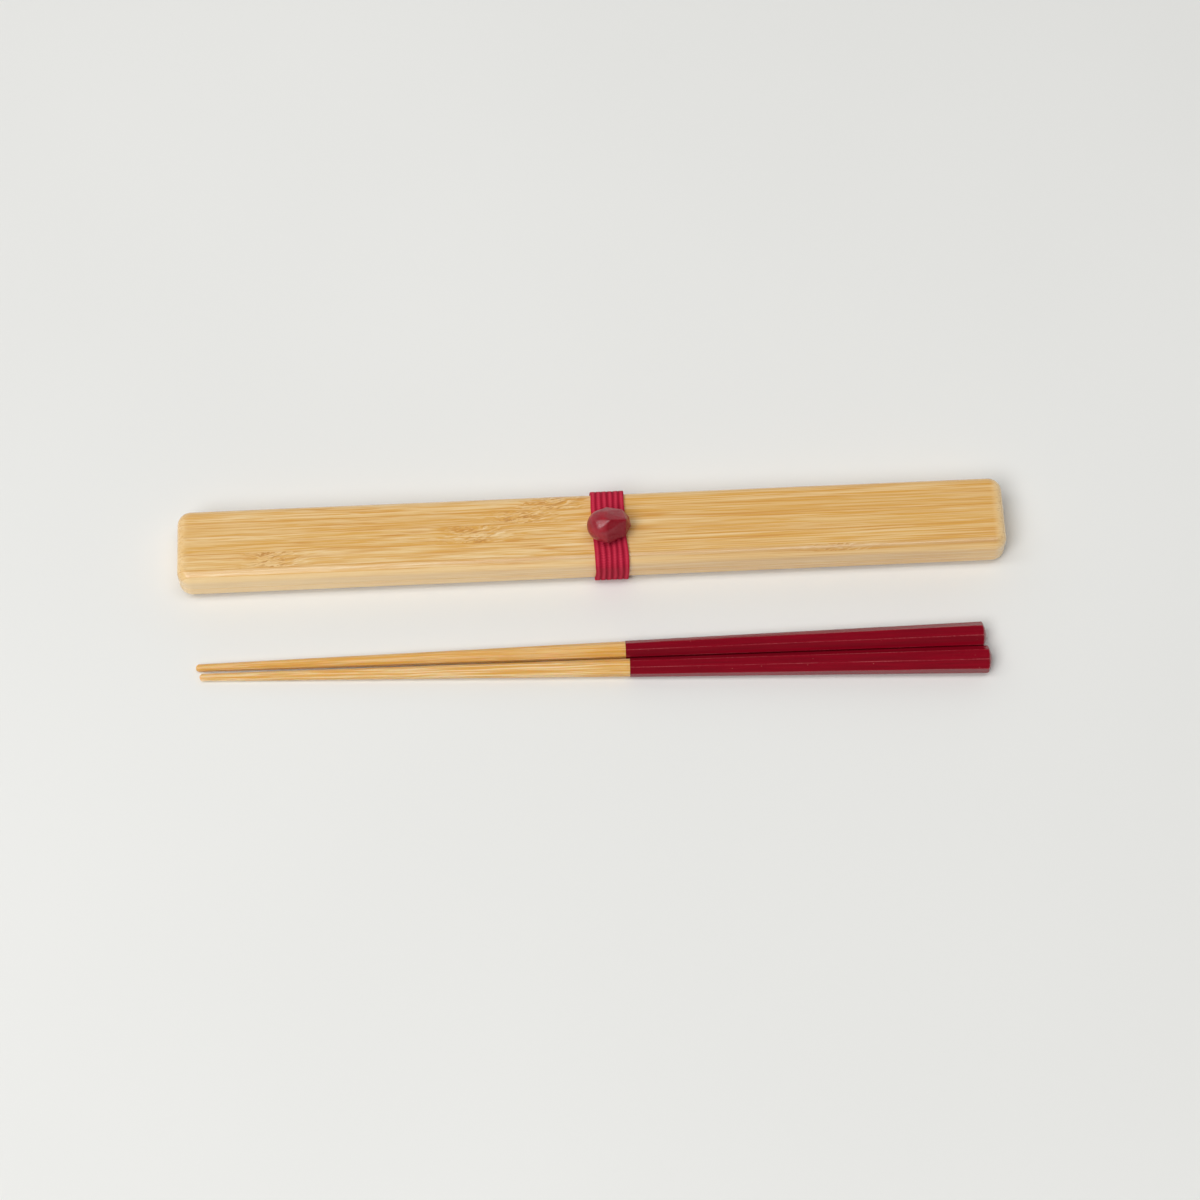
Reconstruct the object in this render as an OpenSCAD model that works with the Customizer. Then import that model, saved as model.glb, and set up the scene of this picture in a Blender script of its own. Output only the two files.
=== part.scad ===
// Portable chopstick case with its pair of chopsticks: a bamboo base, a lift-off bamboo lid,
// and a ribbed elastic band with a bead that holds the two together.
// Millimetres. +X runs along the case, +Y points to its back and +Z is up.
// The origin is the middle of the set's footprint on the table.

/* [Chopsticks] */
// Length of a chopstick
stick_l = 230; // [200:1:250]
// Width of the bare grip end across its flats
grip_w = 7.1; // [6:0.1:9]
// Width of the tip across its flats
tip_w = 2; // [1.4:0.1:3]
// Length of the lacquered grip
lacquer_l = 105; // [60:1:140]
// Thickness of the lacquer coat
lacquer_t = 0.15; // [0.1:0.05:0.4]
// Radius of the crowned grip end
crown_r = 7; // [6:1:40]

/* [Case] */
// Room beyond each end of a stowed chopstick
stow_end_gap = 2; // [1:0.5:6]
// Room beside the stowed pair, both sides together
stow_side_gap = 0.8; // [0.4:0.1:4]
// Room above the stowed pair
stow_head_gap = 0.5; // [0.3:0.1:4]
// Thickness of the end walls
end_wall_t = 4.4; // [3.6:0.1:8]
// Thickness of the long side walls
side_wall_t = 3.8; // [2.8:0.1:6]
// Thickness of the floor
floor_t = 1.6; // [1.2:0.1:4]
// Thickness of the lid's top
lid_top_t = 1.5; // [1.2:0.1:4]
// Height of the parting line above the underside
parting_h = 4.7; // [4.2:0.1:7]
// Corner radius of the case seen from above
corner_r = 4; // [3.5:0.1:5]
// Radius of the rounded edges round the lid's top
edge_r = 2.8; // [1:0.1:3.4]
// Radius of the rounded edges round the base's underside
under_r = 2; // [1:0.1:3.4]
// Radius that eases the two rims at the parting line
seam_r = 0.3; // [0.1:0.05:0.6]

/* [Hollow and lip] */
// Corner radius of the hollow seen from above
hollow_r = 3.5; // [2:0.1:5]
// Radius of the cove where the hollow's walls meet its floor and its top
cove_r = 1.5; // [0.5:0.1:1.8]
// Height of the base's lip above the parting line
lip_h = 2; // [1:0.1:3]
// Thickness of the lip
lip_t = 1.5; // [1:0.1:1.8]
// Radius that eases the lip's top
lip_ease_r = 0.4; // [0.1:0.1:0.8]
// Clearance between the lip and the lid's rebate
lip_gap = 0.15; // [0.1:0.05:0.4]

/* [Elastic band] */
// Width of the band
band_w = 10; // [6:0.5:14]
// Thickness of the band
band_t = 0.9; // [0.8:0.1:1.4]
// Number of ribs across the band
band_ribs = 6; // [4:1:7]
// How far neighbouring ribs run into each other
rib_overlap = 0.1; // [0.05:0.01:0.2]
// Clearance between the band and the case
band_gap = 0.1; // [0.1:0.05:0.3]
// Place of the band along the case, from its middle
band_x = 5.2; // [-100:0.1:100]

/* [Bead] */
// Radius of the bead's domed half
dome_r = 4.7; // [4:0.1:6]
// Reach of the cut half from the middle of the dome
cut_reach = 8.2; // [7:0.1:10]
// Distance of the middle ridge from the middle of the dome
ridge_x = 1.3; // [0.5:0.1:2]
// Height of the bead's middle above its flat seat
bead_mid_h = 4; // [3.4:0.1:4.4]
// Radius of the ridges between the cut faces
ridge_r = 0.5; // [0.3:0.1:1]
// Place of the dome's middle along the case, from the band's middle
dome_x = -1.9; // [-4:0.1:4]
// Place of the bead across the case, from its middle
bead_y = -2; // [-4:0.1:4]
// Clearance between the bead and the band
bead_gap = 0.05; // [0:0.05:0.2]
// Diameter of the thread that ties the bead down
thread_d = 0.8; // [0.5:0.1:1.2]
// Clearance between the thread and its hole
thread_gap = 0.15; // [0.1:0.05:0.4]
// Height in the bead where the two slanted thread holes meet
thread_apex_h = 2.4; // [1.6:0.1:3]
// Distance of each thread hole's mouth from the bead's middle
thread_foot = 2; // [1.2:0.1:2.6]

/* [Layout] */
// Distance on the table between the case and the middle of the grip ends
sticks_ahead = 28.5; // [20:0.5:60]
// Distance of the grip ends from the middle of the case, along the case
grip_end_x = 113.8; // [90:0.1:125]
// Turn of the pair on the table
pair_yaw = -0.96; // [-5:0.01:5]
// Gap between the two grip ends
grip_end_gap = 0.3; // [0.1:0.1:5]
// Gap between the two tips
tips_gap = 1; // [0.1:0.1:5]
// How far the front chopstick lies ahead of the rear one, along the pair
stagger = 1.1; // [-5:0.1:5]

/* [Hidden] */
$fn = 64;

// Cuts and open ends run past the surface by this much
over = 1;

// The hollow holds the lacquered pair side by side, and the case is built around the hollow
full_grip_w = grip_w + 2 * lacquer_t;
hollow_l = stick_l + 2 * stow_end_gap;
hollow_w = 2 * full_grip_w + stow_side_gap;
case_l = hollow_l + 2 * end_wall_t;
case_w = hollow_w + 2 * side_wall_t;
case_h = floor_t + full_grip_w + stow_head_gap + lid_top_t;
lip_top = parting_h + lip_h;

// The band's ribs, and the heights of the stack that stands on the table
rib_r = (band_w + (band_ribs - 1) * rib_overlap) / (2 * band_ribs);
rib_pitch = 2 * rib_r - rib_overlap;
case_z = band_t + band_gap;
band_top = case_z + case_h + band_gap + band_t;
bead_z = band_top + bead_gap + bead_mid_h;

// Each chopstick lies on a flat, and the pair opens a little towards the tips
taper = atan((grip_w - tip_w) / 2 / stick_l);
grip_spacing = full_grip_w + grip_end_gap;
tip_spacing = tip_w + tips_gap;
spread = asin((grip_spacing - tip_spacing) / 2 / stick_l);
octagon_half = 180 / 8;
nose_margin = 0.06;
tip_nose_r = tip_w / 2 / cos(octagon_half) + nose_margin;

// The set's depth on the table, with the origin in the middle of it
set_back = case_w / 2 + band_gap + band_t;
set_front = -case_w / 2 - sticks_ahead - grip_spacing / 2 - full_grip_w / 2;
set_y = -(set_back + set_front) / 2;
pair_y = set_y - case_w / 2 - sticks_ahead;

// Width of a bare chopstick at a distance from its tip
function stick_w(x) = tip_w + (grip_w - tip_w) * x / stick_l;

// Quarter of a disc
module quarter_disc(r) {
    intersection() {
        circle(r);
        square(r);
    }
}

// Half section of a rim that reaches out from a corner's axis, with its outer corners rounded
module rim_section(reach, z0, z1, low_r, high_r) {
    translate([0, z0 + low_r]) square([reach, z1 - z0 - low_r - high_r]);
    if (low_r > 0) {
        translate([0, z0]) square([reach - low_r, low_r]);
        translate([reach - low_r, z0 + low_r]) mirror([0, 1]) quarter_disc(low_r);
    }
    if (high_r > 0) {
        translate([0, z1 - high_r]) square([reach - high_r, high_r]);
        translate([reach - high_r, z1 - high_r]) quarter_disc(high_r);
    }
}

// Slab with round corners in plan and rounded lower and upper edges
module rounded_slab(l, w, corner, z0, z1, low_r, high_r) {
    side_y = w / 2 - corner;
    rotate([90, 0, 90]) linear_extrude(l - 2 * corner, center = true) {
        translate([-side_y, z0]) square([2 * side_y, z1 - z0]);
        for (side = [0, 1]) mirror([side, 0]) {
            translate([side_y, 0]) rim_section(corner, z0, z1, low_r, high_r);
        }
    }
    for (side = [0, 1]) mirror([side, 0, 0]) translate([l / 2 - corner, 0, 0]) {
        rotate([90, 0, 0]) linear_extrude(2 * side_y, center = true) {
            rim_section(corner, z0, z1, low_r, high_r);
        }
        for (back = [0, 1]) mirror([0, back, 0]) translate([0, side_y, 0]) {
            rotate_extrude(angle = 90) rim_section(corner, z0, z1, low_r, high_r);
        }
    }
}

// The lip's outline grown by a clearance, from one height to another
module lip_slab(grow, z0, z1, ease_r) {
    around = 2 * (lip_t + grow);
    rounded_slab(hollow_l + around, hollow_w + around, hollow_r + lip_t + grow, z0, z1, 0, ease_r);
}

// Moves a piece from the middle of the case's underside to its place on the table
module on_case() {
    translate([0, set_y, case_z]) children();
}

// Lower half of the case, with the lip that the lid drops over
module case_base() {
    color("burlywood") on_case() difference() {
        union() {
            rounded_slab(case_l, case_w, corner_r, 0, parting_h, under_r, seam_r);
            lip_slab(0, floor_t, lip_top, lip_ease_r);
        }
        rounded_slab(hollow_l, hollow_w, hollow_r, floor_t, lip_top + over, cove_r, 0);
    }
}

// Upper half of the case, rebated for the lip
module case_lid() {
    color("wheat") on_case() difference() {
        rounded_slab(case_l, case_w, corner_r, parting_h, case_h, seam_r, edge_r);
        rounded_slab(hollow_l, hollow_w, hollow_r, parting_h - over, case_h - lid_top_t, 0, cove_r);
        lip_slab(lip_gap, parting_h - over, lip_top + lip_gap, 0);
    }
}

// Section of the band: round cords side by side, pressed flat inside and outside
module band_section() {
    intersection() {
        translate([0, -band_w]) square([band_t, 2 * band_w]);
        for (i = [0 : band_ribs - 1]) {
            translate([band_t / 2, (i - (band_ribs - 1) / 2) * rib_pitch]) circle(rib_r);
        }
    }
}

// Straight run of the band between two places, at a distance from the line they are measured on
module band_run(start, end, distance) {
    translate([distance, end, 0]) rotate([90, 0, 0]) linear_extrude(end - start) band_section();
}

// Quarter bend of the band, with its inner radius
module band_bend(bend_r) {
    rotate_extrude(angle = 90) translate([bend_r, 0]) band_section();
}

// Elastic loop around the closed case
module elastic_band() {
    top_run = case_w / 2 - edge_r;
    under_run = case_w / 2 - under_r;
    side_top = case_h - edge_r;
    color("crimson") on_case() translate([band_x, 0, 0]) rotate([90, 0, 90]) {
        rotate(90) band_run(-top_run, top_run, case_h + band_gap);
        rotate(-90) band_run(-under_run, under_run, band_gap);
        for (side = [0, 1]) mirror([side, 0, 0]) {
            band_run(under_r, side_top, case_w / 2 + band_gap);
            translate([top_run, side_top, 0]) band_bend(edge_r + band_gap);
            translate([under_run, under_r, 0]) mirror([0, 1, 0]) band_bend(under_r + band_gap);
        }
    }
}

// Moves a piece from the middle of the bead's dome to its place on the band
module on_band() {
    translate([band_x + dome_x, set_y + bead_y, bead_z]) children();
}

// Corners of the bead's flat cuts: the share of the cut half's length, then the shares of the
// dome's radius across and up
bead_corners = [
    [0, 1, 0.26], [0.11, -0.17, 0.98], [0, -0.98, -0.32], [0, -0.72, -0.77], [0, 0.77, -0.77],
    [0.66, 0.85, 0.21], [0.8, -0.04, 0.72], [0.77, -0.57, -0.19],
    [0.94, 0.45, 0.06], [1, -0.04, -0.09], [0.81, 0.09, -0.68]
];

// Carved nugget: a smooth dome on one half and flat cuts that meet in ridges on the other
module bead() {
    cut_l = cut_reach - ridge_r - ridge_x;
    room = 2 * cut_reach;
    color("brown") on_band() difference() {
        hull() {
            sphere(dome_r);
            for (c = bead_corners) {
                translate([ridge_x + c[0] * cut_l, c[1] * dome_r, c[2] * dome_r]) sphere(ridge_r, $fn = 20);
            }
        }
        translate([-room, -room, -bead_mid_h - room]) cube([2 * room, 2 * room, room]);
        slanted_pair(thread_d / 2 + thread_gap);
    }
}

// Two slanted rods that meet inside the bead and run out through its seat
module slanted_pair(r) {
    slant = atan(thread_foot / thread_apex_h);
    reach = thread_apex_h / cos(slant) + over;
    translate([-dome_x, 0, thread_apex_h - bead_mid_h]) {
        sphere(r);
        for (side = [-1, 1]) rotate([side * slant, 0, 0]) translate([0, 0, -reach]) cylinder(reach, r = r);
    }
}

// Thread that is sewn to the band and runs through the bead's two slanted holes
module bead_thread() {
    room = 2 * dome_r;
    color("darkred") on_band() intersection() {
        slanted_pair(thread_d / 2);
        translate([-room, -room, -bead_mid_h]) cube(2 * room);
    }
}

// Tapered octagonal length of a chopstick, grown by a coat's thickness
module tapered_octagon(x0, x1, grow) {
    low = stick_w(x0) / 2 + grow;
    high = stick_w(x1) / 2 + grow;
    intersection() {
        tapered_slab(x0, x1, low, high, 0);
        tapered_slab(x0, x1, low, high, 45);
        tapered_slab(x0, x1, low, high, 90);
        tapered_slab(x0, x1, low, high, 135);
    }
}

// Two opposite flats of the octagon, turned about the chopstick's axis
module tapered_slab(x0, x1, low, high, turn) {
    rotate([turn, 0, 0]) linear_extrude(4 * high, center = true) {
        polygon([[x0, -low], [x1, -high], [x1, high], [x0, low]]);
    }
}

// What is cut away beyond a ball at the end of a chopstick that points along +X
module round_end_waste(r) {
    block = 2 * full_grip_w;
    difference() {
        translate([max(0, r - full_grip_w), -block / 2, -block / 2]) cube(block);
        sphere(r);
    }
}

// Bare chopstick along +X from its tip, with a round nose and a crowned end
module stick_blank() {
    difference() {
        tapered_octagon(0, stick_l, 0);
        translate([tip_nose_r, 0, 0]) mirror([1, 0, 0]) round_end_waste(tip_nose_r);
        translate([stick_l - crown_r, 0, 0]) round_end_waste(crown_r - lacquer_t);
    }
}

// Lacquer coat over the grip and its end
module lacquer_coat() {
    difference() {
        tapered_octagon(stick_l - lacquer_l, stick_l, lacquer_t);
        translate([stick_l - crown_r, 0, 0]) round_end_waste(crown_r);
        stick_blank();
    }
}

// Lays the rear (1) or front (-1) chopstick on its flat in front of the case
module lay_stick(side) {
    ahead = side < 0 ? stagger / 2 : -stagger / 2;
    translate([grip_end_x, pair_y, lacquer_t]) rotate([0, 0, pair_yaw]) {
        translate([ahead, side * grip_spacing / 2, 0]) rotate([0, 0, side * spread]) {
            translate([-stick_l, 0, tip_w / 2]) rotate([0, -taper, 0]) children();
        }
    }
}

module chopstick_rear() {
    color("burlywood") lay_stick(1) stick_blank();
}

module lacquer_rear() {
    color("crimson") lay_stick(1) lacquer_coat();
}

module chopstick_front() {
    color("burlywood") lay_stick(-1) stick_blank();
}

module lacquer_front() {
    color("crimson") lay_stick(-1) lacquer_coat();
}

case_base();
case_lid();
elastic_band();
bead();
bead_thread();
chopstick_rear();
lacquer_rear();
chopstick_front();
lacquer_front();
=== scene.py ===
import math

import bpy
import numpy as np
from mathutils import Matrix, Vector, noise


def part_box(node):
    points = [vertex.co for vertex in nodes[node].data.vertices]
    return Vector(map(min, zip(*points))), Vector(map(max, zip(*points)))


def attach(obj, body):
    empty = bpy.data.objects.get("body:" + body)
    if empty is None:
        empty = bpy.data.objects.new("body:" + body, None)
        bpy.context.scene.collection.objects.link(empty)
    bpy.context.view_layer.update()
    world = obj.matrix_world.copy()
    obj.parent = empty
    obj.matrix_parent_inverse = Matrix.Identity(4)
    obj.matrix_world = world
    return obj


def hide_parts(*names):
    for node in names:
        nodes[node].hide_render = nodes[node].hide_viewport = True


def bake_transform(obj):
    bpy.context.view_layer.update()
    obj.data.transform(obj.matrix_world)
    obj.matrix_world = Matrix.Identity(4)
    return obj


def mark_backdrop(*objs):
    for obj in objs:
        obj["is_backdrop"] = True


MM = 0.001
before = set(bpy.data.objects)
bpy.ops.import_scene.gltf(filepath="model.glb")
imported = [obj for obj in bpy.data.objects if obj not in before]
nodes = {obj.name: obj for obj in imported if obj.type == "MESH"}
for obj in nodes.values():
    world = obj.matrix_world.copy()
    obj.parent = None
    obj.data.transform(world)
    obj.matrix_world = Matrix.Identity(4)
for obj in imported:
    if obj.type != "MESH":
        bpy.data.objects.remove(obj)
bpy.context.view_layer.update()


# Colours and shader graphs

def paint(red, green, blue):
    """Linear colour of an ordinary 0 to 255 screen colour."""
    def linear(c):
        c /= 255
        return c / 12.92 if c <= 0.04045 else ((c + 0.055) / 1.055) ** 2.4
    return (linear(red), linear(green), linear(blue), 1.0)


class Graph:
    """A material's nodes. Each call adds one node and returns the socket that carries its result."""

    def __init__(self, name):
        self.material = bpy.data.materials.new(name)
        self.material.use_nodes = True
        self.tree = self.material.node_tree
        self.tree.nodes.clear()

    def add(self, kind, inputs=None, out=0, **settings):
        node = self.tree.nodes.new(kind)
        for key, value in settings.items():
            setattr(node, key, value)
        for key, value in (inputs or {}).items():
            if isinstance(value, bpy.types.NodeSocket):
                self.tree.links.new(value, node.inputs[key])
            else:
                node.inputs[key].default_value = value
        return node.outputs[out] if node.outputs else None

    def math(self, operation, *values):
        return self.add("ShaderNodeMath", dict(enumerate(values)), operation=operation)

    def times(self, *values):
        result = values[0]
        for value in values[1:]:
            result = self.math("MULTIPLY", result, value)
        return result

    def plus(self, *values):
        result = values[0]
        for value in values[1:]:
            result = self.math("ADD", result, value)
        return result

    def fit(self, value, low, high, to_low=0.0, to_high=1.0, soft=True):
        """Value from low to high, mapped to the other range and held there outside it."""
        kind = "SMOOTHSTEP" if soft else "LINEAR"
        inputs = {"Value": value, "From Min": low, "From Max": high, "To Min": to_low, "To Max": to_high}
        return self.add("ShaderNodeMapRange", inputs, interpolation_type=kind)

    def hump(self, value, middle, width):
        """1 at the middle, falling to nothing over about twice the width."""
        away = self.math("DIVIDE", self.math("SUBTRACT", value, middle), width)
        return self.math("EXPONENT", self.times(away, away, -1.0))

    def join(self, x, y, z):
        return self.add("ShaderNodeCombineXYZ", {0: x, 1: y, 2: z})

    def noise(self, x, y, z, detail=2.0, rough=0.5):
        inputs = {"Vector": self.join(x, y, z), "Scale": 1.0, "Detail": detail, "Roughness": rough}
        return self.add("ShaderNodeTexNoise", inputs)

    def streaks(self, x, y, z, along, across, **settings):
        """Noise with its own frequencies per millimetre along x and across it."""
        return self.noise(self.times(x, along), self.times(y, across), self.times(z, across), **settings)

    def cells(self, x, y, z):
        return self.add("ShaderNodeTexVoronoi", {"Vector": self.join(x, y, z), "Scale": 1.0})

    def mix(self, share, a, b):
        return self.add("ShaderNodeMix", {0: share, 6: a, 7: b}, out=2, data_type="RGBA")

    def space(self, origin, axes):
        """Millimetres along three axes from an origin in the frame, for a piece that moves with its body."""
        point = self.add("ShaderNodeTexCoord", out=3)
        point = self.add("ShaderNodeVectorMath", {0: point, 1: origin}, operation="SUBTRACT")
        result = []
        for axis in axes:
            per_mm = tuple(Vector(axis) / MM)
            dot = self.add("ShaderNodeVectorMath", {0: point, 1: per_mm}, out=1, operation="DOT_PRODUCT")
            result.append(dot)
        return result

    def surface(self, height, depth_mm, inputs):
        """Finishes the material: its shader, with a height in millimetres as bump."""
        bump = self.add("ShaderNodeBump", {"Height": height, "Strength": 1.0, "Distance": depth_mm * MM})
        shader = self.add("ShaderNodeBsdfPrincipled", dict(inputs, Normal=bump))
        self.add("ShaderNodeOutputMaterial", {"Surface": shader})
        return self.material


WORLD_AXES = ((1, 0, 0), (0, 1, 0), (0, 0, 1))


# Bamboo of the case: narrow strips glued side by side, each with its own tone and its own node

STRAW = paint(237, 202, 143)
HONEY = paint(227, 182, 108)
AMBER = paint(216, 161, 80)
ORANGE = paint(209, 145, 58)
TAN = paint(184, 124, 60)
UMBER = paint(196, 136, 62)
CREAM = paint(243, 217, 170)
PALE = paint(245, 213, 158)
GOLD = paint(221, 162, 64)
# Painted shade for the rounded front edge
EDGE_PAINTED_SHADE = paint(190, 148, 92)

# Places on the case in millimetres: the strips' range across it, the furthest node from its middle,
# where its rounded ends cut across the fibres, and its rounded front edge
STRIPS_LOW, STRIPS_HIGH = 0.0, 34.0
KNOT_REACH = 150.0
CUT_FROM, CUT_TO = 117.4, 120.2
EDGE_Y, EDGE_WIDTH = 7.95, 0.75
EDGE_Z_LOW, EDGE_Z_HIGH = 8.6, 9.6


def strip_values(graph, across, strips):
    """Three numbers of the strip at this place: its tone, its node's place along it and its grain's shift."""
    place = graph.fit(across, STRIPS_LOW, STRIPS_HIGH, soft=False)
    output = graph.add("ShaderNodeValToRGB", {"Fac": place})
    ramp = output.node.color_ramp
    ramp.interpolation = "CONSTANT"
    while len(ramp.elements) < len(strips):
        ramp.elements.new(1.0)
    for element, (start, tone, knot, shift) in zip(ramp.elements, strips):
        element.position = (start - STRIPS_LOW) / (STRIPS_HIGH - STRIPS_LOW)
        element.color = (tone, (knot + KNOT_REACH) / (2 * KNOT_REACH), shift, 1.0)
    split = graph.add("ShaderNodeSeparateColor", {"Color": output}).node.outputs
    knot = graph.plus(graph.times(split[1], 2 * KNOT_REACH), -KNOT_REACH)
    return split[0], knot, split[2]


def case_bamboo(name, strips):
    """Laminated bamboo, from a list of its strips."""
    g = Graph(name)
    along, across, up = g.space((0, 0, 0), WORLD_AXES)
    tone, knot, shift = strip_values(g, across, strips)

    # Near a node the fibres arch over it and break up into short feathered dashes
    wander = g.noise(g.times(along, 0.16), g.times(across, 0.42),
                     g.plus(g.times(up, 0.42), g.times(shift, 31.0)))
    wander = g.plus(wander, -0.5)
    to_knot = g.plus(along, g.times(knot, -1.0))
    from_knot = g.plus(to_knot, g.times(wander, 11.0))
    near = g.hump(from_knot, 0.0, 9.0)
    at_knot = g.hump(from_knot, -1.5, 6.0)
    past_knot = g.hump(from_knot, 3.5, 5.5)
    swing = g.times(near, g.plus(g.times(wander, 3.2), 0.75))
    slow_bend = g.times(g.plus(g.noise(g.times(along, 0.012), g.times(shift, 17.0), 0.0), -0.5), 0.9)
    y = g.plus(across, swing, slow_bend, g.times(shift, 57.0))
    z = g.plus(up, g.times(swing, 0.7), g.times(shift, 23.0))
    x = g.plus(along, g.times(g.math("MINIMUM", along, 0.0), 0.8), g.times(shift, 400.0))

    broad = g.streaks(x, y, z, 0.012, 0.48, detail=1.0)
    bands = g.streaks(x, y, z, 0.016, 1.6, detail=2.0, rough=0.65)
    fine = g.streaks(x, y, z, 0.030, 2.5, detail=2.0, rough=0.65)
    places = g.streaks(x, y, z, 0.022, 0.65, detail=1.0)
    lines = g.streaks(x, y, z, 0.011, 1.15, detail=1.0, rough=0.6)
    pale_lines = g.noise(g.times(x, 0.015), g.times(y, 1.3), g.plus(g.times(z, 1.3), 40.0),
                         detail=1.0, rough=0.6)
    tilted = g.plus(y, g.times(to_knot, -0.24))
    dashes = g.streaks(along, tilted, z, 0.17, 2.0, detail=2.0, rough=0.6)
    bundles = g.cells(g.times(x, 0.004), g.times(y, 1.5), g.times(z, 1.5))
    pores = g.fit(bundles, 0.30, 0.10)

    def thread(field, width):
        """Thin long lines where a stretched field passes its middle."""
        return g.fit(g.math("ABSOLUTE", g.plus(field, -0.5)), width, width * 0.25)

    dark_line = g.times(thread(lines, 0.055), g.fit(places, 0.40, 0.60))
    pale_line = g.times(thread(pale_lines, 0.05), g.fit(places, 0.60, 0.40))

    # Cut across at the ends of the case, the fibres show as dots instead of lines
    cut = g.fit(g.math("ABSOLUTE", along), CUT_FROM, CUT_TO)
    whole = g.times(g.math("SUBTRACT", 1.0, g.times(cut, 0.75)), g.fit(along, -115.0, -5.0, 0.76, 1.0))
    dots = g.fit(g.cells(g.times(along, 0.3), g.times(across, 2.1), g.times(up, 2.1)), 0.42, 0.14)

    colour = g.mix(g.fit(broad, 0.32, 0.68), STRAW, HONEY)
    colour = g.mix(g.times(g.fit(bands, 0.48, 0.59), whole, 0.55), colour, GOLD)
    colour = g.mix(g.times(g.fit(fine, 0.515, 0.575), whole, 0.90), colour, GOLD)
    colour = g.mix(g.times(g.fit(fine, 0.47, 0.395), whole, 0.55), colour, PALE)
    colour = g.mix(g.times(pores, whole, 0.20), colour, ORANGE)
    colour = g.mix(g.times(pale_line, whole, 0.50), colour, CREAM)
    colour = g.mix(g.times(dark_line, whole, 0.90), colour, ORANGE)
    # Painted light and shade along the case: the next lines turn it darker and more golden towards the right
    # end and make its pale strips paler towards the left end, as the light falls off from the left.
    colour = g.mix(g.fit(along, -60.0, 110.0, 0.0, 0.16), colour, GOLD)
    colour = g.mix(g.fit(tone, 0.5, 1.0, 0.0, 0.5, soft=False), colour, AMBER)
    pale_share = g.fit(tone, 0.5, 0.0, 0.0, 0.85, soft=False)
    colour = g.mix(g.times(pale_share, g.fit(along, -110.0, 90.0, 1.40, 0.65)), colour, PALE)
    colour = g.mix(g.times(g.fit(dashes, 0.51, 0.60), at_knot, 0.95), colour, UMBER)
    colour = g.mix(g.times(g.fit(dashes, 0.45, 0.34), past_knot, 0.70), colour, CREAM)

    # A thin dark glue line between strips, stronger in some places than in others
    gap = None
    for start, _, _, _ in strips[2:]:
        here = g.math("ABSOLUTE", g.plus(across, -start))
        gap = here if gap is None else g.math("MINIMUM", gap, here)
    glue = g.times(g.fit(gap, 0.20, 0.04), g.fit(bands, 0.34, 0.60, 0.20, 0.85))
    colour = g.mix(glue, colour, ORANGE)

    # Painted shade: the rounded front edge is darkened a little, least at the left end and most at the right.
    # The cut ends are paler, the right end most: partly paler end grain, partly a painted pale haze of
    # reflected light.
    edge = g.times(g.hump(across, EDGE_Y, EDGE_WIDTH), g.fit(up, EDGE_Z_LOW, EDGE_Z_HIGH))
    colour = g.mix(g.times(edge, g.fit(along, -110.0, 40.0, 0.10, 0.56)), colour, EDGE_PAINTED_SHADE)
    colour = g.mix(g.times(cut, g.fit(along, -100.0, 100.0, 0.22, 0.62)), colour, PALE)
    colour = g.mix(g.times(cut, dots, 0.42), colour, TAN)

    relief = g.plus(g.times(fine, 0.6), g.times(bands, 0.5), g.times(pores, -0.5), g.times(glue, -0.5),
                    g.times(dashes, at_knot, 0.8), g.times(dots, cut, -0.5))
    rough = g.plus(g.fit(fine, 0.3, 0.7, 0.46, 0.56), g.times(pores, 0.08))
    return g.surface(relief, 0.006, {"Base Color": colour, "Roughness": rough, "Specular IOR Level": 0.40,
                                     "Coat Weight": 1.0, "Coat Roughness": 0.24})


# Start across the case, tone, place of the node along the case and shift of the grain
LID_STRIPS = [
    (0.0, 0.16, 150.0, 0.11), (6.9, 0.42, 72.0, 0.63), (9.0, 0.46, -92.0, 0.37),
    (14.0, 0.56, -33.0, 0.58), (19.8, 0.70, -19.0, 0.79), (24.0, 0.62, -9.0, 0.23),
]
BASE_STRIPS = [
    (0.0, 0.16, 150.0, 0.11), (6.9, 0.42, 72.0, 0.63), (9.0, 0.60, -64.0, 0.05),
    (15.7, 0.45, 96.0, 0.44), (20.6, 0.66, -38.0, 0.91), (24.0, 0.62, -9.0, 0.23),
]


def dress(node, material):
    """Gives a solid its material."""
    node.data.materials.clear()
    node.data.materials.append(material)


dress(nodes["case_lid"], case_bamboo("lid_bamboo", LID_STRIPS))
dress(nodes["case_base"], case_bamboo("base_bamboo", BASE_STRIPS))


# Chopsticks: one strip of bamboo each, with the grip end dipped in lacquer

LACQUER_LIGHT = paint(138, 4, 28)
LACQUER_DEEP = paint(126, 4, 25)
LACQUER_GRAIN = paint(104, 6, 22)
LACQUER_WORN = paint(190, 80, 86)
LACQUER_DUST = paint(196, 120, 110)
LACQUER_SCRATCH = paint(170, 50, 60)
EASED_EDGE = 0.22
RIM_FROM, RIM_TO = 229.1, 229.8
END_SLICE = 2 * MM


def stick_axes(node):
    """Middle of the tip and the directions along a chopstick, across it and up from it."""
    points = np.unique(np.array([v.co for v in node.data.vertices]).round(6), axis=0)
    low, high = points[:, 0].min(), points[:, 0].max()
    tip = Vector(points[points[:, 0] < low + END_SLICE].mean(0))
    grip = Vector(points[points[:, 0] > high - END_SLICE].mean(0))
    along = (grip - tip).normalized()
    across = Vector((0, 0, 1)).cross(along).normalized()
    return tip, (along, across, along.cross(across))


def ease_edges(node, width_mm):
    """Rounds a solid's sharp edges a little, as sanding and lacquer leave them."""
    weld = node.modifiers.new("weld", "WELD")
    weld.merge_threshold = 1e-6
    bevel = node.modifiers.new("eased_edges", "BEVEL")
    bevel.width = width_mm * MM
    bevel.segments = 3
    bevel.limit_method = "ANGLE"
    bevel.angle_limit = math.radians(28)
    bevel.harden_normals = True


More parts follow.
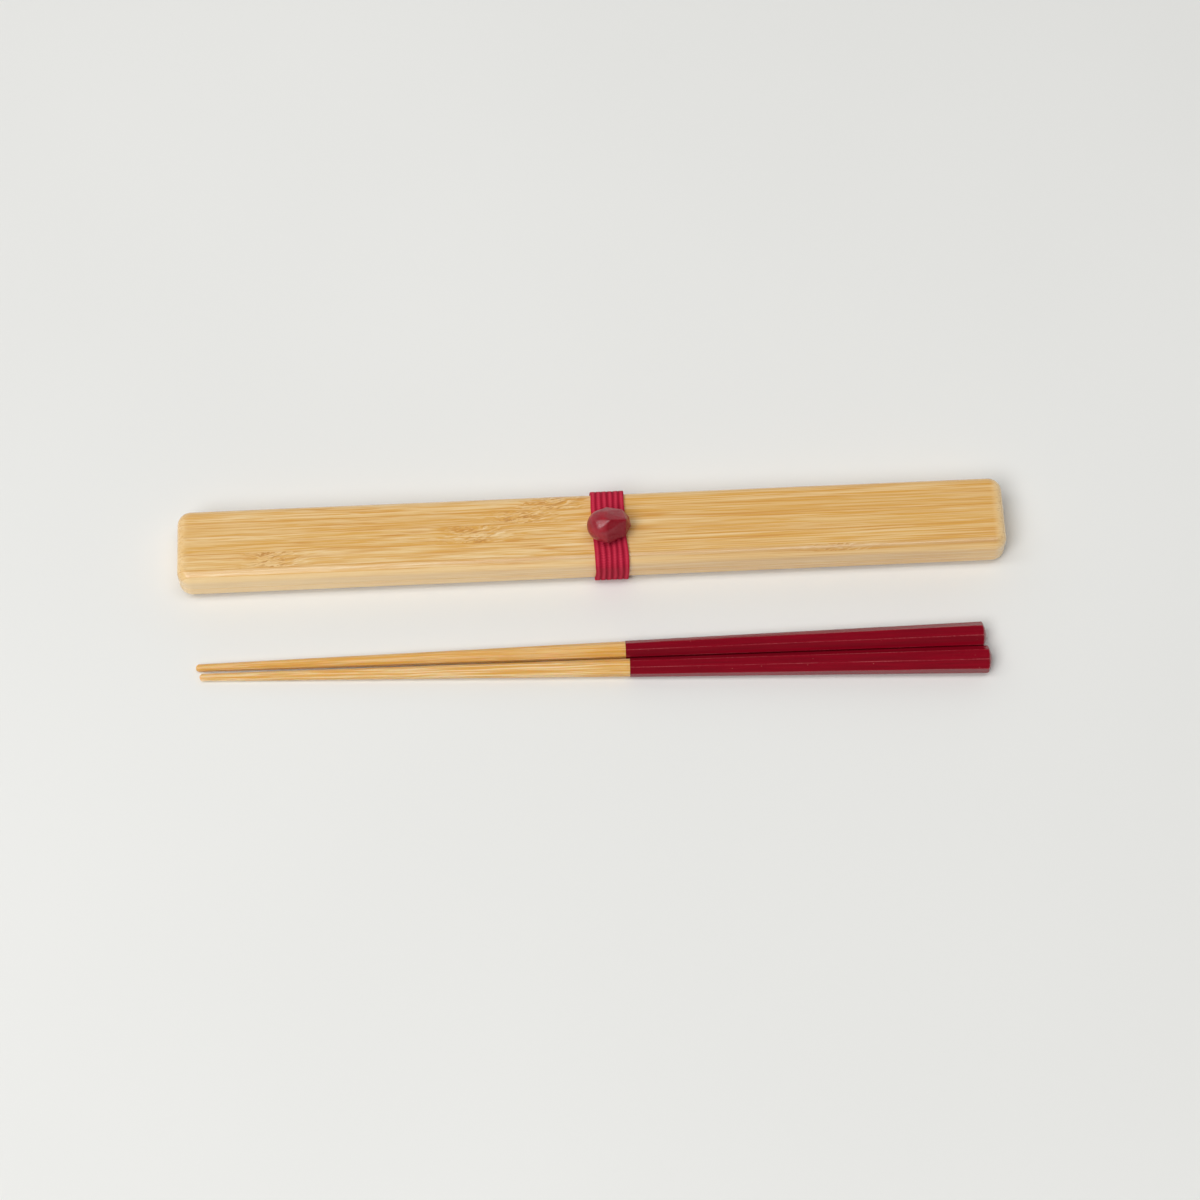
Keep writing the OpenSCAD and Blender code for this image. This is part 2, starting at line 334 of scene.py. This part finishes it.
def octagon_edge(g, across, up, width):
    """1 on the eight long edges of a chopstick, falling to 0 over a share of a facet."""
    turn = g.math("DIVIDE", g.math("ARCTAN2", up, across), math.pi / 4)
    share = g.math("FRACT", g.plus(turn, 8.5))
    near = g.math("MINIMUM", share, g.math("SUBTRACT", 1.0, share))
    return g.fit(near, width, 0.0)


def stick_bamboo(name, origin, axes, seed, tone):
    """Bare bamboo of a chopstick. tone: share of golden tint."""
    g = Graph(name)
    along, across, up = g.space(origin, axes)
    sway = g.times(g.plus(g.noise(g.times(along, 0.02), seed, 0.0), -0.5), 1.2)
    x = g.plus(along, seed * 300.0)
    y = g.plus(across, sway, seed * 19.0)
    z = g.plus(up, g.times(sway, 0.6), seed * 7.0)
    broad = g.streaks(x, y, z, 0.014, 0.55, detail=1.0)
    bands = g.streaks(x, y, z, 0.024, 1.7, detail=2.0, rough=0.55)
    fine = g.streaks(x, y, z, 0.035, 2.1, detail=2.0, rough=0.6)
    bundles = g.cells(g.times(x, 0.006), g.times(y, 2.0), g.times(z, 2.0))
    pores = g.fit(bundles, 0.30, 0.10)
    edge = octagon_edge(g, across, up, 0.10)

    colour = g.mix(g.fit(broad, 0.34, 0.66), STRAW, HONEY)
    colour = g.mix(g.times(g.fit(bands, 0.38, 0.64), 0.75), colour, AMBER)
    colour = g.mix(g.times(g.fit(fine, 0.51, 0.57), 0.85), colour, GOLD)
    colour = g.mix(g.times(g.fit(fine, 0.48, 0.42), 0.80), colour, CREAM)
    colour = g.mix(g.times(pores, 0.28), colour, ORANGE)
    colour = g.mix(tone, colour, GOLD)
    colour = g.mix(g.times(edge, g.fit(bands, 0.3, 0.6), 0.25), colour, CREAM)

    relief = g.plus(g.times(fine, 0.7), g.times(bands, 0.5), g.times(pores, -0.5))
    rough = g.plus(g.fit(fine, 0.3, 0.7, 0.38, 0.48), g.times(pores, 0.08))
    return g.surface(relief, 0.010, {"Base Color": colour, "Roughness": rough, "Specular IOR Level": 0.5,
                                     "Subsurface Weight": 0.4, "Subsurface Radius": (1.0, 0.4, 0.12),
                                     "Subsurface Scale": 0.8 * MM})


def lacquer(name, origin, axes, seed):
    """Lacquer over the grain, worn at its edges, with a little dust and a few scratches."""
    g = Graph(name)
    along, across, up = g.space(origin, axes)

    def field(lengthways, crossways):
        return g.times(along, lengthways), g.times(across, crossways), g.plus(g.times(up, crossways), seed)

    pull = g.noise(*field(0.05, 0.8), detail=2.0)
    grain = g.noise(*field(0.045, 3.2), detail=2.0)
    skin = g.noise(*field(1.6, 1.6), detail=3.0)
    dust = g.fit(g.cells(*field(0.30, 0.42)), 0.07, 0.02)
    scratch = g.fit(g.noise(*field(0.09, 9.0), detail=1.0), 0.70, 0.78)
    edge = octagon_edge(g, across, up, 0.075)
    tired = g.fit(g.plus(pull, g.times(skin, 0.5)), 0.55, 0.95)
    rim = g.times(g.fit(along, RIM_FROM, RIM_TO), 0.5)
    worn = g.times(g.math("MAXIMUM", edge, rim), tired)

    colour = g.mix(g.fit(pull, 0.32, 0.68), LACQUER_LIGHT, LACQUER_DEEP)
    colour = g.mix(g.times(g.fit(grain, 0.45, 0.70), 0.35), colour, LACQUER_GRAIN)
    colour = g.mix(g.times(worn, 0.55), colour, LACQUER_WORN)
    colour = g.mix(g.times(dust, 0.5), colour, LACQUER_DUST)
    colour = g.mix(g.times(scratch, 0.12), colour, LACQUER_SCRATCH)

    relief = g.plus(g.times(skin, 0.5), g.times(grain, 0.55), g.times(dust, 0.9))
    rough = g.plus(g.fit(skin, 0.3, 0.7, 0.14, 0.20), g.times(worn, 0.10), g.times(scratch, 0.08))
    return g.surface(relief, 0.004, {"Base Color": colour, "Roughness": rough, "Specular IOR Level": 0.42})


for side, seed, tone in (("rear", 0.31, 0.45), ("front", 0.77, 0.03)):
    stick, coat = nodes["chopstick_" + side], nodes["lacquer_" + side]
    origin, axes = stick_axes(stick)
    dress(stick, stick_bamboo("stick_bamboo_" + side, origin, axes, seed, tone))
    dress(coat, lacquer("lacquer_" + side, origin, axes, seed * 40))
    ease_edges(stick, EASED_EDGE)
    ease_edges(coat, EASED_EDGE)


# Elastic band: six covered rubber cords side by side in a woven loop around the case

YARN_BRIGHT = paint(184, 26, 56)
YARN_DULL = paint(170, 18, 46)
# Painted highlight on the yarns' crowns and painted shade where they meet
YARN_PAINTED_HIGHLIGHT = paint(220, 62, 88)
YARN_PAINTED_SHADE = paint(126, 8, 36)
# Painted highlight on the ribs' crowns and painted shade in the grooves
RIB_PAINTED_HIGHLIGHT = paint(216, 64, 88)
GROOVE_PAINTED_SHADE = paint(138, 4, 38)
NAP = paint(212, 70, 90)
NAP_SHEEN = paint(240, 150, 160)

BAND_RIBS = 6

# Millimetres: the band's thickness and the depth of its grooves, the bends of its middle line, a stitch's
# length, and the depths of stitches, of plump places and of the surface below the solid's
BAND_T = 0.9
BAND_RISE = 0.36
TOP_BEND = 3.35
UNDER_BEND = 2.55
STITCH = 0.72
KNIT = 0.040
PLUMP = 0.035
SUNK = 0.07

# Sideways wander: slant per millimetre across the case, size, count and phase of each wave round the loop,
# and size of each rib's own wave
SKEW = -0.032
WAVES = ((0.10, 3, 0.6), (0.06, 7, 0.0))
RIB_WAVE = 0.05

# Mesh steps in a bend, a stitch and a rib
BEND_STEPS = 32
STITCH_STEPS = 6
RIB_STEPS = 9
band_low, band_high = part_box("elastic_band")
band_mid = (band_low + band_high) / 2


def band_loop():
    """Points of the band's middle line round the case in millimetres, each with its outward angle."""
    half_y = (band_high.y - band_low.y) / 2 / MM - BAND_T / 2
    half_z = (band_high.z - band_low.z) / 2 / MM - BAND_T / 2
    line = []
    for side_y, side_z, bend, facing in ((1, 1, TOP_BEND, 0), (-1, 1, TOP_BEND, 90),
                                         (-1, -1, UNDER_BEND, 180), (1, -1, UNDER_BEND, 270)):
        for step in range(BEND_STEPS + 1):
            away = math.radians(facing + 90 * step / BEND_STEPS)
            line.append((side_y * (half_y - bend) + bend * math.cos(away),
                         side_z * (half_z - bend) + bend * math.sin(away), away))
    line.append((line[0][0], line[0][1], 2 * math.pi))
    line = np.array(line)
    travelled = np.concatenate([[0.0], np.cumsum(np.hypot(*np.diff(line[:, :2], axis=0).T))])
    count = round(travelled[-1] / STITCH) * STITCH_STEPS
    places = travelled[-1] * np.arange(count) / count
    return [np.interp(places, travelled, line[:, k]) for k in range(3)]


def rib_profile():
    """Section of the band: place across it, height from its middle, rib number and place within the rib."""
    width = (band_high.x - band_low.x) / MM
    pitch = width / BAND_RIBS
    outer, inner = [], []
    for rib in range(BAND_RIBS):
        for step in range(RIB_STEPS):
            share = (step + 0.5) / RIB_STEPS * 2 - 1
            sink = 1 - math.sqrt(max(0.0, 1 - abs(share) ** 2.2))
            x = (rib + 0.5 + share / 2 - BAND_RIBS / 2) * pitch
            outer.append((x, BAND_T / 2 - BAND_RISE * sink, rib, share))
            inner.append((x, -BAND_T / 2 + BAND_RISE / 2 * sink, rib, share))
    return outer + inner[::-1]


def elastic_mesh():
    """The ribbed loop with its stitches as relief. Its UVs count stitches along it and ribs across it."""
    rows = list(zip(*band_loop()))
    section = rib_profile()
    verts = []
    for i, (y, z, facing) in enumerate(rows):
        turn = 2 * math.pi * i / len(rows)
        wave = sum(size * math.sin(count * turn + phase) for size, count, phase in WAVES)
        skew = SKEW * y
        for x, height, rib, share in section:
            stitch = i / STITCH_STEPS + 0.42 * abs(share) + 0.5 * (rib % 2)
            knit = KNIT * math.cos(2 * math.pi * stitch) * (1 - 0.6 * share * share)
            plump = PLUMP * noise.noise(Vector((rib * 7.3, 3.1 * math.cos(turn), 3.1 * math.sin(turn))))
            reach = height + math.copysign(knit + plump - SUNK, height)
            reach = max(-BAND_T / 2, min(BAND_T / 2, reach))
            sideways = x + skew + wave + RIB_WAVE * math.sin(5 * turn + rib * 1.7)
            verts.append(((band_mid.x / MM + sideways) * MM,
                          (band_mid.y / MM + y + reach * math.cos(facing)) * MM,
                          (band_mid.z / MM + z + reach * math.sin(facing)) * MM))
    n, m = len(rows), len(section)
    faces = []
    for i in range(n):
        for j in range(m):
            k, l = (i + 1) % n, (j + 1) % m
            faces.append((i * m + j, i * m + l, k * m + l, k * m + j))
    mesh = bpy.data.meshes.new("elastic_band_knit")
    mesh.from_pydata(verts, [], faces)
    layer = mesh.uv_layers.new(name="band")
    uv = np.zeros((len(faces) * 4, 2), np.float32)
    for i in range(n):
        for j in range(m):
            base = (i * m + j) * 4
            corners = ((i, j), (i, j + 1), (i + 1, j + 1), (i + 1, j))
            for c, (row, column) in enumerate(corners):
                uv[base + c] = (row / STITCH_STEPS, (column + 0.5) / RIB_STEPS)
    layer.data.foreach_set("uv", uv.ravel())
    mesh.polygons.foreach_set("use_smooth", np.ones(len(faces), bool))
    mesh.update()
    return mesh


def elastic_material():
    """Crimson yarn over rubber cords: slanted yarns that meet along each cord, with a soft nap; painted
    highlight on the crowns of yarns and ribs, painted shade where the yarns meet and in the grooves.
    """
    g = Graph("crimson_elastic")
    uv = g.add("ShaderNodeTexCoord", out=2)
    split = g.add("ShaderNodeSeparateXYZ", {"Vector": uv}).node.outputs
    rows, columns = split[0], split[1]
    place = g.math("FRACT", columns)
    side = g.math("ABSOLUTE", g.plus(g.times(place, 2.0), -1.0))
    rib = g.math("FLOOR", columns)
    slant = g.plus(rows, g.times(side, 0.62), g.times(rib, 0.37))
    yarn = g.math("ABSOLUTE", g.plus(g.times(g.math("FRACT", slant), 2.0), -1.0))
    lock = g.math("ABSOLUTE", g.plus(g.times(g.math("FRACT", g.plus(rows, g.times(side, 0.42))), 2.0), -1.0))
    fuzz = g.noise(g.times(rows, 2.3), g.times(columns, 9.0), 0.0, detail=3.0, rough=0.65)
    drift = g.noise(g.times(rows, 0.09), g.times(rib, 3.7), 0.0, detail=2.0)

    colour = g.mix(g.fit(drift, 0.3, 0.7), YARN_BRIGHT, YARN_DULL)
    # Painted highlight on each yarn's crown and painted shade along the line where the yarns meet
    colour = g.mix(g.times(g.fit(yarn, 0.30, 0.95), 0.55), colour, YARN_PAINTED_HIGHLIGHT)
    colour = g.mix(g.times(g.fit(lock, 0.6, 1.0), 0.40), colour, YARN_PAINTED_SHADE)
    # Painted highlight on each rib's crown and painted shade in the grooves between the ribs
    colour = g.mix(g.times(g.fit(side, 0.55, 0.05), 0.45), colour, RIB_PAINTED_HIGHLIGHT)
    groove_shade = g.times(g.fit(side, 0.35, 0.95), g.fit(columns, 0.2, 0.6), g.fit(columns, 5.8, 5.4))
    colour = g.mix(g.times(groove_shade, 0.80), colour, GROOVE_PAINTED_SHADE)
    colour = g.mix(g.times(g.fit(fuzz, 0.52, 0.72), 0.30), colour, NAP)

    relief = g.plus(g.times(yarn, 0.8), g.times(fuzz, 0.5))
    return g.surface(relief, 0.03, {"Base Color": colour, "Roughness": g.fit(fuzz, 0.3, 0.7, 0.72, 0.9),
                                    "Specular IOR Level": 0.12, "Sheen Weight": 0.06, "Sheen Roughness": 0.4,
                                    "Sheen Tint": NAP_SHEEN})


def new_piece(name, mesh, material):
    """An object for a mesh, in the scene, with its material."""
    piece = bpy.data.objects.new(name, mesh)
    bpy.context.scene.collection.objects.link(piece)
    mesh.materials.clear()
    mesh.materials.append(material)
    return piece


elastic = new_piece("elastic_band_knit", elastic_mesh(), elastic_material())
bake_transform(elastic)
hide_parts("elastic_band")


# Bead: hand-carved, so its faces are a little uneven and its ridges soft

STAIN_RED = paint(164, 28, 43)
STAIN_BROWN = paint(146, 29, 42)
STAIN_GRAIN = paint(116, 20, 32)
STAIN_BLOOM = paint(150, 66, 72)
STAIN_NICK = paint(84, 14, 26)
# Painted shade for the bead's lower facet
BEAD_FACET_SHADE = paint(134, 3, 25)

# Millimetres: the mesh's step, the depths of the uneven faces and of knife cuts, and the height over which
# they start above the bead's seat
BEAD_STEP = 0.09
BROAD_UNEVEN, SMALL_UNEVEN = 0.030, 0.014
KNIFE_CUT = 0.012
CARVED_IN = 0.02
SEAT_FADE = 0.6


def carved_bead_mesh():
    """A finer copy of the solid bead, with shallow knife cuts."""
    rough_copy = bpy.data.objects.new("bead_blank", nodes["bead"].data.copy())
    bpy.context.scene.collection.objects.link(rough_copy)
    remesh = rough_copy.modifiers.new("remesh", "REMESH")
    remesh.mode = "VOXEL"
    remesh.voxel_size = BEAD_STEP * MM
    smooth = rough_copy.modifiers.new("smooth", "SMOOTH")
    smooth.factor = 0.5
    smooth.iterations = 1
    bpy.context.view_layer.update()
    ready = rough_copy.evaluated_get(bpy.context.evaluated_depsgraph_get())
    mesh = bpy.data.meshes.new_from_object(ready)
    bpy.data.objects.remove(rough_copy)
    mesh.name = "bead_carved"
    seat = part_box("bead")[0].z
    points = np.array([v.co for v in mesh.vertices])
    normals = np.array([v.normal for v in mesh.vertices])
    for i, (point, normal) in enumerate(zip(points, normals)):
        place = Vector(point) / MM
        waves = BROAD_UNEVEN * noise.noise(place * 0.55) + SMALL_UNEVEN * noise.noise(place * 1.7)
        cut = KNIFE_CUT * noise.noise(Vector((place.x * 0.7, place.y * 2.4, place.z * 2.4)))
        rise = min(1.0, max(0.0, (point[2] - seat) / (SEAT_FADE * MM)))
        points[i] = point + normal * (waves + cut - CARVED_IN) * rise * MM
    mesh.vertices.foreach_set("co", points.astype(np.float32).ravel())
    mesh.polygons.foreach_set("use_smooth", np.ones(len(mesh.polygons), bool))
    mesh.update()
    return mesh


def bead_material():
    """Wine-red stain, darker in the grain and dusty in places, with painted shade on the lower facet by the
    cut end.
    """
    g = Graph("wine_bead")
    x, y, z = g.space((0, 0, 0), WORLD_AXES)
    cloud = g.streaks(x, y, z, 0.33, 0.33, detail=3.0, rough=0.6)
    grain = g.streaks(x, y, z, 0.5, 3.2, detail=2.0, rough=0.55)
    bloom = g.streaks(x, y, z, 5.5, 5.5, detail=3.0, rough=0.6)
    nicks = g.fit(g.cells(g.times(x, 0.8), g.times(y, 0.8), g.times(z, 0.8)), 0.12, 0.04)

    colour = g.mix(g.fit(cloud, 0.36, 0.64), STAIN_RED, STAIN_BROWN)
    colour = g.mix(g.times(g.fit(grain, 0.48, 0.72), 0.30), colour, STAIN_GRAIN)
    colour = g.mix(g.times(g.fit(bloom, 0.52, 0.75), 0.30), colour, STAIN_BLOOM)
    colour = g.mix(g.times(nicks, 0.35), colour, STAIN_NICK)
    # Painted shade: the lower facet by the cut end is darker
    facet_shade = g.times(g.fit(x, 3.8, 4.8), g.fit(y, 15.8, 14.6), g.fit(cloud, 0.25, 0.55, 0.7, 1.0))
    colour = g.mix(facet_shade, colour, BEAD_FACET_SHADE)

    relief = g.plus(g.times(grain, 0.5), g.times(bloom, 0.4), g.times(nicks, -0.6))
    rough = g.fit(bloom, 0.3, 0.7, 0.24, 0.36)
    return g.surface(relief, 0.014, {"Base Color": colour, "Roughness": rough, "Specular IOR Level": 0.5})


bead = new_piece("bead_carved", carved_bead_mesh(), bead_material())
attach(bead, "bead")
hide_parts("bead")


# Thread inside the bead: two plies twisted together, up one slanted hole and down the other

THREAD_RADIUS = 0.4
THREAD_LAY = 1.3
BEND_SOFTNESS = 0.012
PATH_STEPS = 72
PLY_SIDES = 10


def thread_mesh():
    """Both plies along an arch from one foot of the thread to the other."""
    low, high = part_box("bead_thread")
    middle_x = (low.x + high.x) / 2 / MM
    middle_y = (low.y + high.y) / 2 / MM
    foot_z, top_z = low.z / MM, high.z / MM - THREAD_RADIUS
    reach = (high.y - low.y) / 2 / MM - THREAD_RADIUS * 1.3

    def bow(share):
        return math.sqrt(share * share + BEND_SOFTNESS) - math.sqrt(BEND_SOFTNESS)

    path = []
    for i in range(PATH_STEPS + 1):
        share = 2 * i / PATH_STEPS - 1
        z = top_z - (top_z - foot_z) * bow(share) / bow(1)
        path.append(Vector((middle_x, middle_y + reach * share, z)))
    verts, faces = [], []
    ply = THREAD_RADIUS * 0.52
    for strand in (0, 1):
        start = len(verts)
        travelled = 0.0
        for i, point in enumerate(path):
            ahead = (path[min(i + 1, PATH_STEPS)] - path[max(i - 1, 0)]).normalized()
            a = Vector((1, 0, 0))
            b = ahead.cross(a).normalized()
            travelled += 0 if i == 0 else (point - path[i - 1]).length
            twist = 2 * math.pi * travelled / THREAD_LAY + math.pi * strand
            centre = point + (a * math.cos(twist) + b * math.sin(twist)) * (THREAD_RADIUS - ply) * 0.98
            for k in range(PLY_SIDES):
                t = 2 * math.pi * k / PLY_SIDES
                verts.append(tuple((centre + (a * math.cos(t) + b * math.sin(t)) * ply) * MM))
        for i in range(PATH_STEPS):
            for k in range(PLY_SIDES):
                l = (k + 1) % PLY_SIDES
                base = start + i * PLY_SIDES
                faces.append((base + k, base + PLY_SIDES + k, base + PLY_SIDES + l, base + l))
        faces.append(tuple(start + k for k in range(PLY_SIDES)))
        faces.append(tuple(start + PATH_STEPS * PLY_SIDES + k for k in reversed(range(PLY_SIDES))))
    mesh = bpy.data.meshes.new("bead_thread_twist")
    mesh.from_pydata(verts, [], faces)
    mesh.polygons.foreach_set("use_smooth", np.ones(len(faces), bool))
    mesh.update()
    return mesh


def thread_material():
    g = Graph("red_thread")
    x, y, z = g.space((0, 0, 0), WORLD_AXES)
    fibres = g.noise(g.times(x, 9.0), g.times(y, 3.0), g.times(z, 9.0), detail=3.0, rough=0.6)
    drift = g.noise(g.times(x, 0.8), g.times(y, 0.8), g.times(z, 0.8))
    colour = g.mix(g.fit(fibres, 0.35, 0.65), paint(120, 16, 36), paint(168, 40, 60))
    colour = g.mix(g.times(g.fit(drift, 0.4, 0.7), 0.3), colour, paint(98, 10, 28))
    return g.surface(fibres, 0.02, {"Base Color": colour, "Roughness": g.fit(fibres, 0.3, 0.7, 0.6, 0.75)})


thread = new_piece("bead_thread_twist", thread_mesh(), thread_material())
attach(thread, "bead")
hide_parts("bead_thread")


# Table, light and camera

# Room light: heights over the horizon, from 0 to 1 straight up, and the light level at each
FRONT_WALL = ((0.0, 0.95), (0.17, 0.85), (0.28, 0.12), (0.80, 0.04))
BACK_WALL = ((0.0, 0.30), (0.25, 0.72), (0.60, 0.60), (0.82, 0.05))


def table():
    """Plain pale table top."""
    size = 6.0
    corners = [(-size, -size, 0), (size, -size, 0), (size, size, 0), (-size, size, 0)]
    mesh = bpy.data.meshes.new("table")
    mesh.from_pydata(corners, [], [(0, 1, 2, 3)])
    g = Graph("pale_table")
    x, y = g.space((0, 0, 0), WORLD_AXES[:2])
    cloud = g.noise(g.times(x, 0.004), g.times(y, 0.004), 0.0)
    tooth = g.noise(g.times(x, 1.5), g.times(y, 1.5), 0.0, detail=3.0)
    colour = g.mix(g.fit(cloud, 0.3, 0.7), paint(237, 237, 234), paint(234, 234, 231))
    material = g.surface(tooth, 0.004, {"Base Color": colour, "Roughness": 0.75, "Specular IOR Level": 0.2})
    mesh.materials.append(material)
    floor = bpy.data.objects.new("table", mesh)
    bpy.context.scene.collection.objects.link(floor)
    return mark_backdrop(floor)


def lamp(name, place, watts, shape, *sizes):
    """Area light that points straight down."""
    light = bpy.data.lights.new(name, "AREA")
    light.shape = shape
    light.energy = watts
    light.size = sizes[0]
    if len(sizes) > 1:
        light.size_y = sizes[1]
    lit = bpy.data.objects.new(name, light)
    lit.location = place
    bpy.context.scene.collection.objects.link(lit)
    return lit


def soft_box(name, place, size, watts):
    """Round soft box that points at the set."""
    lit = lamp(name, place, watts, "DISK", size)
    lit.rotation_euler = (-Vector(place)).to_track_quat("-Z", "Y").to_euler()


def strip_box(name, place, length, width, watts):
    """Long soft box that hangs level, along the case."""
    lamp(name, place, watts, "RECTANGLE", length, width)


def sky():
    """Room light: bright low walls in front, a broad pale wall behind and a dim ceiling over both."""
    world = bpy.data.worlds.new("studio")
    bpy.context.scene.world = world
    world.use_nodes = True
    tree = world.node_tree
    tree.nodes.clear()

    def add(kind, **settings):
        node = tree.nodes.new(kind)
        for key, value in settings.items():
            setattr(node, key, value)
        return node

    def wall(levels):
        """Light level by height over the horizon."""
        ramp = add("ShaderNodeValToRGB")
        steps = ramp.color_ramp.elements
        while len(steps) < len(levels):
            steps.new(1.0)
        for step, (height, level) in zip(steps, levels):
            step.position = height
            step.color = (level, level, level * 0.99, 1)
        tree.links.new(split.outputs[2], ramp.inputs["Fac"])
        return ramp.outputs["Color"]

    point = add("ShaderNodeTexCoord")
    split = add("ShaderNodeSeparateXYZ")
    side = add("ShaderNodeMapRange", interpolation_type="SMOOTHSTEP")
    side.inputs["From Min"].default_value = 0.05
    side.inputs["From Max"].default_value = 0.55
    both = add("ShaderNodeMix", data_type="RGBA")
    light = add("ShaderNodeBackground")
    out = add("ShaderNodeOutputWorld")
    tree.links.new(point.outputs["Generated"], split.inputs[0])
    tree.links.new(split.outputs[1], side.inputs["Value"])
    tree.links.new(side.outputs[0], both.inputs[0])
    tree.links.new(wall(FRONT_WALL), both.inputs[6])
    tree.links.new(wall(BACK_WALL), both.inputs[7])
    tree.links.new(both.outputs[2], light.inputs["Color"])
    tree.links.new(light.outputs[0], out.inputs["Surface"])


def photo_camera():
    """Camera where the photograph was taken from: its turn, height, roll, distance and lens."""
    azimuth, elevation, roll = math.radians(2.322), math.radians(64.898), math.radians(-0.376)
    distance, lens = 962.877 * MM, 98.333
    target = Vector((1.663, -0.39, 0)) * MM
    away = Vector((-math.sin(azimuth) * math.cos(elevation), -math.cos(azimuth) * math.cos(elevation),
                   math.sin(elevation)))
    forward = -away
    right = forward.cross(Vector((0, 0, 1))).normalized()
    up = right.cross(forward)
    right, up = (right * math.cos(roll) + up * math.sin(roll)), (up * math.cos(roll) - right * math.sin(roll))
    data = bpy.data.cameras.new("photo_camera")
    data.sensor_width = 36.0
    data.lens = lens
    data.clip_start = 0.01
    data.clip_end = 50.0
    camera = bpy.data.objects.new("photo_camera", data)
    turn = Matrix((right, up, -forward)).transposed().to_4x4()
    camera.matrix_world = Matrix.Translation(target + away * distance) @ turn
    bpy.context.scene.collection.objects.link(camera)
    bpy.context.scene.camera = camera


table()
sky()
soft_box("key", place=(-0.95, -1.20, 2.10), size=1.4, watts=33.0)
strip_box("overhead", place=(-0.90, 0.05, 2.50), length=4.0, width=0.7, watts=36.5)
photo_camera()
bpy.context.scene.view_settings.view_transform = "Standard"
